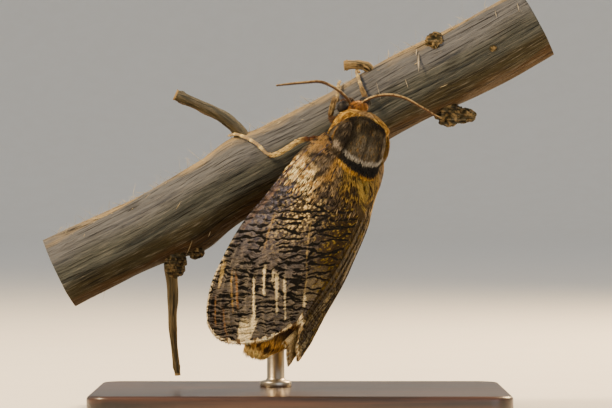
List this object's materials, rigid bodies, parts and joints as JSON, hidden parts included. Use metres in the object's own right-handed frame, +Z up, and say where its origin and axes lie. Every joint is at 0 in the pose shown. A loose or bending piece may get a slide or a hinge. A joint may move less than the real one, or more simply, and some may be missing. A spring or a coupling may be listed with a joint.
{
  "type": "goat moth",
  "caption": "Life-size still model of a goat moth resting head-up with roofed wings on a short cut branch, held by a rod on a flat display base.",
  "frame": {"origin": "centre of the underside of the display base", "axes": "+Z up, +X to the right along the rise of the branch, -Y towards the side that the moth's back faces"},
  "size_m": [0.0874, 0.044, 0.0719],
  "materials": {
    "stand_wood": "dark stained, satin",
    "stand_metal": "brushed",
    "bark": "weathered, matte",
    "forewing_scales": "matte scales with a dark network of lines",
    "hindwing_scales": "matte scales",
    "thorax_fur": "dense short fur",
    "abdomen_fur": "dense short fur in rings",
    "head_fur": "tufted short fur",
    "eye": "smooth, glossy",
    "antenna": "finely ringed, satin",
    "leg_scales": "shaggy scales"
  },
  "bodies": {
    "root": {"stand_base": "stand_wood", "stand_rod": "stand_metal", "perch_branch": "bark", "head": "head_fur", "eye_left": "eye", "eye_right": "eye", "antenna_left": "antenna", "antenna_right": "antenna", "thorax": "thorax_fur", "abdomen": "abdomen_fur", "forewing_left": "forewing_scales", "forewing_right": "forewing_scales", "hindwing_left": "hindwing_scales", "hindwing_right": "hindwing_scales", "leg_front_left": "leg_scales", "leg_front_right": "leg_scales", "leg_mid_left": "leg_scales", "leg_mid_right": "leg_scales", "leg_hind_left": "leg_scales", "leg_hind_right": "leg_scales"}
  },
  "joints": []
}
